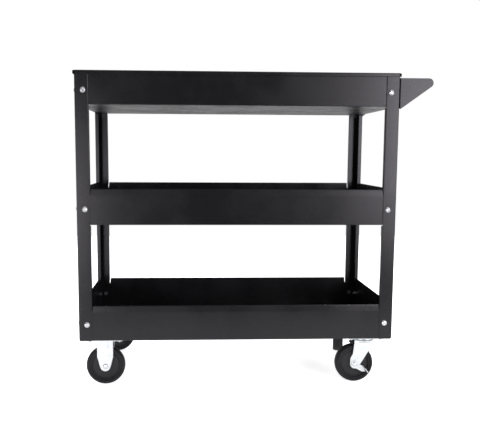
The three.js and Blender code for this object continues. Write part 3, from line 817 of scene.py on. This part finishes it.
def wheel(caster, axle_body, reach):
    middle, along, body = wheel_line(caster)
    place = laid(middle, along)
    tyre = moved(turned(mirrored(TYRE_HALF), 96, closed=True), place)
    hub = moved(turned(mirrored(HUB_HALF), 72, closed=True), place)
    axle = moved(axle_mesh(*reach), place)
    piece(f"tyre_{caster}_ring", tyre, body, RUBBER, f"tyre_{caster}")
    piece(f"hub_{caster}_centre", hub, body, PLASTIC, f"hub_{caster}")
    piece(f"axle_{caster}_pin", axle, axle_body, ZINC, f"axle_{caster}")


for caster in ("left_front", "left_rear"):
    wheel(caster, "cart", axle_reach(caster))
for caster in ("right_front", "right_rear"):
    wheel(caster, f"swivel_{caster}", axle_reach("right_front"))
print("axle reach", axle_reach("left_front"), axle_reach("right_front"))

# %% [markdown]
# ## Caster legs
# A leg is cut from sheet with a round end about the axle. Its outline is a few straight lines
# whose lowest corner lies far below the axle, so that rounding that corner to the right radius
# lands the round end exactly on the axle. The flat face is extruded to the sheet's thickness and
# its edges are broken a little, as a press leaves them.

# %% Cut a flat shape from sheet
EDGE_BREAK = 0.35 * MM


def cut_plate(outline, thickness):
    """outline is in the XZ plane."""
    mesh = bmesh.new()
    points = [mesh.verts.new((x * MM, 0, z * MM)) for x, z in outline]
    bmesh.ops.contextual_create(mesh, geom=points)
    front = mesh.faces[:]
    deep = bmesh.ops.extrude_face_region(mesh, geom=front)
    bmesh.ops.translate(mesh, verts=new_verts(deep), vec=(0, thickness * MM, 0))
    bmesh.ops.recalc_face_normals(mesh, faces=mesh.faces)
    rims = [e for e in corner_edges(mesh) if abs(e.verts[0].co.y - e.verts[1].co.y) < NEAR]
    round_edges(mesh, rims, EDGE_BREAK, 2)
    return mesh


def both_sides(make, inner_face):
    """Two copies of a plate, one each side of the wheel."""
    near_side = moved(make(), Matrix.Translation((0, inner_face, 0)))
    far_side = moved(make(), Matrix.Translation((0, inner_face, 0)))
    bmesh.ops.scale(far_side, vec=(1, -1, 1), verts=far_side.verts)
    bmesh.ops.recalc_face_normals(far_side, faces=far_side.faces)
    return together(near_side, far_side)


# %% [markdown]
# ## Rigid casters
# The fork and its top plate are one pressing: two legs turn down from the plate's long edges. The
# plate has rounded corners, and four bolts hold it under the lowest tray.

# %% Plate and fork of a rigid caster
AXLE_Z = 50.0
FORK_INSIDE = 17.0
FORK_SHEET = 2.5
LEG_HALF = 20.4
LEG_SHOULDER = AXLE_Z + 25
LEG_TOE = AXLE_Z - 51.8
LEG_END = 13.3
PLATE_TOP = TRAY_BOXES[0][0].z / MM
PLATE_SHEET = 2.5
PLATE_HALF = (47.5, 32.5)
PLATE_CORNER = 7.0
PLATE_UNDER = PLATE_TOP - PLATE_SHEET - 0.3
LEG_TOP = PLATE_TOP - PLATE_SHEET + 0.4


def top_plate(under, thickness):
    half_x, half_y = PLATE_HALF
    outline = [(-half_x, -half_y), (half_x, -half_y), (half_x, half_y), (-half_x, half_y)]
    for corner in (3, 2, 1, 0):
        outline = rounded(outline, corner, PLATE_CORNER, 6)
    lifted = Matrix.Translation((0, 0, under * MM))
    lying = Matrix.Rotation(math.pi / 2, 4, "X") @ Matrix.Translation((0, -thickness * MM, 0))
    return moved(cut_plate(outline, thickness), lifted @ lying)


def rigid_leg():
    outline = [
        (-LEG_HALF, LEG_TOP), (-LEG_HALF, LEG_SHOULDER), (0, LEG_TOE),
        (LEG_HALF, LEG_SHOULDER), (LEG_HALF, LEG_TOP),
    ]
    return cut_plate(rounded(outline, 2, LEG_END, 18), FORK_SHEET)


def caster_place(caster):
    """Where the caster's own frame stands: its middle on the floor, turned as it points."""
    spin = JOINTS[f"wheel_{caster}_spin"]
    turn = JOINTS.get(f"swivel_{caster}_turn", spin)
    angle = math.atan2(-spin["axis"][0], spin["axis"][1])
    x, y, _ = turn["pos_m"]
    return Matrix.Translation((x, y, 0)) @ Matrix.Rotation(angle, 4, "Z"), Vector((x, y, 0))


def rigid_fork(caster):
    place, _ = caster_place(caster)
    legs = both_sides(rigid_leg, -(FORK_INSIDE + FORK_SHEET) * MM)
    plate = top_plate(PLATE_UNDER, PLATE_SHEET)
    mesh = moved(together(legs, plate), place)
    node = f"rigid_fork_{caster}"
    return piece(node + "_pressing", mesh, "cart", ZINC, node)


for caster in ("left_front", "left_rear"):
    made = rigid_fork(caster)

# %% [markdown]
# ## Swivel casters
# Here the plate stays still, a ball race turns under it, and the fork is raked back so that the
# wheel trails behind the kingpin. The race is two pressed dishes with a dark gap between them.
# The fork's crown is a shallow dish as well, with the legs coming down from its sides.

# %% Plate, race and kingpin
RACE_LINE = [
    (5.4, 121.9), (24.5, 121.9), (27.2, 121.2), (28.6, 119.9), (29.0, 118.2), (28.2, 117.9), (26.4, 117.7),
    (26.4, 117.2), (28.4, 117.0), (28.6, 116.2), (27.4, 115.1), (25.2, 114.9), (5.4, 114.9),
]
CROWN_LINE = [
    (5.4, 114.6), (22.0, 114.6), (24.6, 114.2), (25.8, 113.0), (26.0, 111.0), (25.2, 108.6), (23.8, 107.6),
    (5.4, 107.6),
]
PIN_LINE = [
    (0, 124.3), (7.4, 124.3), (8.0, 123.9), (8.0, 123.1), (5.0, 122.6), (5.0, 107.3), (8.6, 107.3),
    (9.0, 106.8), (8.6, 105.4), (6.6, 104.0), (3.2, 103.35), (0, 103.3),
]
SWIVEL_LEG_END = 12.5


def swivel_leg():
    outline = [
        (-28, 108.0), (-31.5, 77), (-38, 65), (-38, 4.6), (11, 87), (21, 108.0), (21, 113.2), (-28, 113.2),
    ]
    return cut_plate(rounded(outline, 3, SWIVEL_LEG_END, 18), FORK_SHEET)


def swivel_caster(caster):
    place, still = caster_place(caster)
    stays = Matrix.Translation(still)
    body = f"swivel_{caster}"
    plate = moved(top_plate(PLATE_UNDER, PLATE_SHEET), stays)
    piece(f"swivel_plate_{caster}_pressing", plate, "cart", ZINC, f"swivel_plate_{caster}")
    race = moved(turned(RACE_LINE, 64, closed=True), stays)
    piece(f"swivel_race_{caster}_dish", race, "cart", ZINC, f"swivel_race_{caster}")
    pin = moved(turned(PIN_LINE, 32), stays)
    piece(f"kingpin_{caster}_rivet", pin, "cart", ZINC, f"kingpin_{caster}")
    legs = both_sides(swivel_leg, -(FORK_INSIDE + FORK_SHEET) * MM)
    fork = moved(together(legs, turned(CROWN_LINE, 64, closed=True)), place)
    piece(f"swivel_fork_{caster}_pressing", fork, body, ZINC, f"swivel_fork_{caster}")


for caster in ("right_front", "right_rear"):
    swivel_caster(caster)
    print(caster, caster_place(caster)[1])

# %% [markdown]
# ## Brake
# A side lever on the axle is pressed down by its foot tab, and lowers a rubber-faced block on to
# the tread. Both are simple pressings, so the measured shape is copied, its loose triangles are
# welded and joined into flat faces, and its edges are broken with a fine bevel.

# %% Fine copies of the measured lever and shoe
def fine_copy(node, radius):
    mesh = bmesh.new()
    mesh.from_mesh(frame["nodes"][node].data)
    weld(mesh)
    bmesh.ops.dissolve_limit(
        mesh, angle_limit=math.radians(1), use_dissolve_boundaries=False, verts=mesh.verts, edges=mesh.edges,
    )
    round_edges(mesh, corner_edges(mesh, math.radians(40)), radius, 2)
    return mesh


for caster in ("right_front", "right_rear"):
    lever = f"brake_lever_{caster}"
    piece(lever + "_pressing", fine_copy(lever, EDGE_BREAK), f"lever_{caster}", ZINC, lever)
    shoe = f"brake_shoe_{caster}"
    piece(shoe + "_block", fine_copy(shoe, EDGE_BREAK), f"shoe_{caster}", RUBBER, shoe)
    print(lever, shoe)

# %% [markdown]
# ## Caster bolts
# Four hexagon bolts hold every caster plate. Their heads stand on the floor of the lowest tray,
# and the nuts are under the plate.

# %% Sixteen caster bolts
BOLT_X = 37.5
BOLT_Y = 22.5
HEX_HEIGHT = 4.0
HEX_ACROSS = 9.0
HEX_NUT_HEIGHT = 4.4
CASTER_NUT_FROM = PLATE_UNDER - 4.5
CASTER_BOLT_TIP = PLATE_UNDER - 7.0
CASTER_BOLT_RADIUS = 2.8
WASHER_EDGE = [(5.8, 0), (5.8, 0.9), (5.4, 1.1)]
HEAD_FROM = 1.0
TRAY_FLOOR = PLATE_TOP + SHEET / MM


def caster_bolt():
    edge = [(radius, TRAY_FLOOR + height) for radius, height in WASHER_EDGE]
    washer = turned([(0, TRAY_FLOOR), *edge, (0, edge[-1][1])], 28)
    head_from = TRAY_FLOOR + HEAD_FROM
    head = nut(head_from, HEX_HEIGHT, HEX_ACROSS)
    below = nut(CASTER_NUT_FROM, HEX_NUT_HEIGHT, HEX_ACROSS)
    return together(washer, head, below, thread(CASTER_BOLT_TIP, head_from, CASTER_BOLT_RADIUS))


for caster in ("left_front", "left_rear", "right_front", "right_rear"):
    _, still = caster_place(caster)
    for number, (side_x, side_y) in enumerate(((-1, -1), (1, -1), (-1, 1), (1, 1)), start=1):
        spot = still + Vector((side_x * BOLT_X * MM, side_y * BOLT_Y * MM, 0))
        mesh = moved(caster_bolt(), Matrix.Translation(spot))
        piece(f"caster_bolt_{caster}_{number}", mesh, "cart", ZINC)
print("pieces", len(pieces))

# %% [markdown]
# ## Studio
# The floor is pale and glows faintly, so that it is as white as the room, and the light is soft:
# one wide panel overhead, one panel on each side of the camera and two behind the cart. The front
# panels stand far apart, so the flat front of a tray mirrors the dark room in its middle and the
# panels towards its ends.

# %% Floor
FLOOR_GLOW = 0.76


def pale_floor():
    finish = Finish("pale_floor")
    cloud = finish.noise(3, 4)
    colour = finish.blend(cloud * 0.4, (0.93, 0.93, 0.93), (0.90, 0.90, 0.90))
    return finish.finished(
        Base_Color=colour,
        Roughness=0.85,
        Emission_Color=(1, 1, 1, 1),
        Emission_Strength=FLOOR_GLOW,
        Normal=finish.bump(finish.noise(120, 3), 0.05, 0.2 * MM),
    )


FLOOR_FRONT = -1.0
FLOOR_BACK = 3.2
FLOOR_SIDE = 5.0
floor = bmesh.new()
corners = [
    floor.verts.new((x, y, 0))
    for x, y in (
        (-FLOOR_SIDE, FLOOR_FRONT), (FLOOR_SIDE, FLOOR_FRONT),
        (FLOOR_SIDE, FLOOR_BACK), (-FLOOR_SIDE, FLOOR_BACK),
    )
]
bmesh.ops.contextual_create(floor, geom=corners)
floor_data = bpy.data.meshes.new("studio_floor")
floor.to_mesh(floor_data)
floor.free()
floor_data.materials.append(pale_floor())
studio_floor = bpy.data.objects.new("studio_floor", floor_data)
bpy.context.scene.collection.objects.link(studio_floor)


# %% Light panels
PANEL_TINT = (0.96, 0.925, 1.0)


def panel(name, place, target, size, power):
    light = bpy.data.lights.new(name, "AREA")
    light.shape = "RECTANGLE"
    light.size, light.size_y = size
    light.energy = power
    light.color = PANEL_TINT
    lamp = bpy.data.objects.new(name, light)
    lamp.location = place
    lamp.visible_camera = False
    lamp.rotation_euler = (Vector(target) - Vector(place)).to_track_quat("-Z", "Y").to_euler()
    bpy.context.scene.collection.objects.link(lamp)
    return lamp


# Where each panel stands, where it points, its width and height, and its power in watts.
PANELS = {
    "overhead": ((0, 0.3, 2.7), (0, 0.1, 0), (3.0, 2.4), 55),
    "left": ((-1.38, -2.35, 0.30), (-0.2, 0, 0.35), (1.2, 0.9), 36),
    "right": ((1.45, -2.35, 0.75), (0.2, 0, 0.45), (1.2, 1.3), 60),
    "back_left": ((-1.6, 2.3, 0.9), (0, 0, 0.4), (1.2, 1.4), 16),
    "back_right": ((1.6, 2.3, 0.9), (0, 0, 0.4), (1.2, 1.4), 16),
}
for side, (place, target, size, power) in PANELS.items():
    panel(f"{side}_panel", place, target, size, power)

# %% [markdown]
# The room itself is white where the camera looks at it. For the light it is bright overhead and
# dim near the floor's edge, and a ramp on the height of each direction makes the change.

# %% Surroundings
DIM = 0.02
OVERHEAD = 1.0
BRIGHTENS = (0.22, 0.65)


def surroundings():
    world = bpy.data.worlds.new("studio")
    recipe = Recipe(world)
    towards = recipe.node("ShaderNodeTexCoord", output="Generated")
    height = recipe.node("ShaderNodeSeparateXYZ", None, {0: towards}, output="Z")
    strength = DIM + OVERHEAD * recipe.contrast(height, *BRIGHTENS)
    lit = recipe.node("ShaderNodeBackground", None, {"Strength": strength})
    seen = recipe.node("ShaderNodeBackground", None, {"Color": (1, 1, 1, 1), "Strength": 1.0})
    direct = recipe.node("ShaderNodeLightPath", output="Is Camera Ray")
    mixed = recipe.node("ShaderNodeMixShader", None, {0: direct, 1: lit, 2: seen})
    recipe.end("ShaderNodeOutputWorld", mixed)
    return world


bpy.context.scene.world = surroundings()
bpy.context.scene.view_settings.view_transform = "Standard"

# %% [markdown]
# ## Camera
# The camera stands in front of the cart, a little left of its middle and just below the height of
# the top tray's floor, and looks slightly down.

# %% Camera
def look(yaw, pitch, roll):
    """The camera's turn, from its yaw to the right, its pitch down and its roll."""
    across = Vector((math.cos(yaw), math.sin(yaw), 0))
    ahead = Vector((-math.sin(yaw), math.cos(yaw), 0))
    up = Vector((0, 0, 1))
    forward = math.cos(pitch) * ahead - math.sin(pitch) * up
    lifted = math.sin(pitch) * ahead + math.cos(pitch) * up
    right = math.cos(roll) * across + math.sin(roll) * lifted
    top = math.cos(roll) * lifted - math.sin(roll) * across
    return Matrix((right, top, -forward)).transposed()


EYE = (-0.1621, -2.0017, 0.5991)
YAW, PITCH_DOWN, ROLL = -0.05, 0.124, 0.005
LENS = 53.99
SENSOR = 36
SHIFT = (0.0312, 0.0496)

camera_data = bpy.data.cameras.new("studio_camera")
camera_data.lens = LENS
camera_data.sensor_width = SENSOR
camera_data.shift_x, camera_data.shift_y = SHIFT
camera = bpy.data.objects.new("studio_camera", camera_data)
camera.matrix_world = Matrix.Translation(EYE) @ look(YAW, PITCH_DOWN, ROLL).to_4x4()
bpy.context.scene.collection.objects.link(camera)
bpy.context.scene.camera = camera
